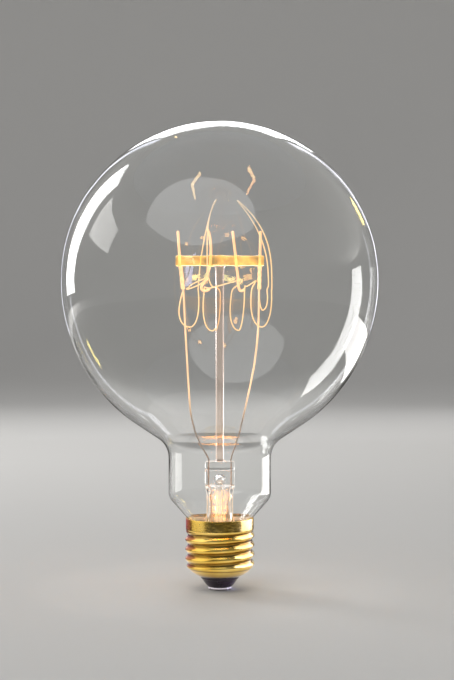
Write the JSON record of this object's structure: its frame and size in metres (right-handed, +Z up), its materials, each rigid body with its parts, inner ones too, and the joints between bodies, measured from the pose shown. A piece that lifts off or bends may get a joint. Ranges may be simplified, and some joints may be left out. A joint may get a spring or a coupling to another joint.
{
  "type": "filament light bulb",
  "caption": "Large clear globe filament bulb with a glass stem and cross-bar, a looped filament on wire supports and a threaded brass cap",
  "frame": {"origin": "centre of the solder face on the centre contact, the lowest point of the cap", "axes": "+Z runs up the bulb's axis from the cap to the top of the globe; +X runs along the cross-bar to the picture's right; -Y faces the picture's camera"},
  "size_m": [0.12, 0.12, 0.1773],
  "materials": {
    "clear_glass": "clear, polished",
    "stem_glass": "clear, melted smooth",
    "support_wire": "drawn wire, lit amber",
    "clamp_metal": "crimped nickel strip",
    "lead_wire": "drawn copper wire",
    "seal_wire": "copper sheathed wire sealed in glass",
    "filament": "glowing carbon thread",
    "brass": "rolled, bright",
    "solder": "soft solder, satin",
    "cement": "baked cement",
    "black_glass": "black glass, glossy",
    "contact_metal": "tinned brass"
  },
  "bodies": {
    "root": {"glass_envelope": "clear_glass", "stem_flare": "stem_glass", "exhaust_tube": "stem_glass", "glass_rod": "stem_glass", "cross_bar": "stem_glass", "outer_left_post": "support_wire", "inner_left_post": "support_wire", "inner_right_post": "support_wire", "outer_right_post": "support_wire", "left_clamp": "clamp_metal", "right_clamp": "clamp_metal", "left_lead": "lead_wire", "right_lead": "lead_wire", "left_seal_wire": "seal_wire", "right_seal_wire": "seal_wire", "shell_lead_wire": "lead_wire", "contact_lead_wire": "lead_wire", "filament": "filament", "screw_shell": "brass", "shell_solder": "solder", "basing_cement": "cement", "insulator": "black_glass", "contact_plate": "contact_metal", "contact_solder": "solder"}
  },
  "joints": []
}
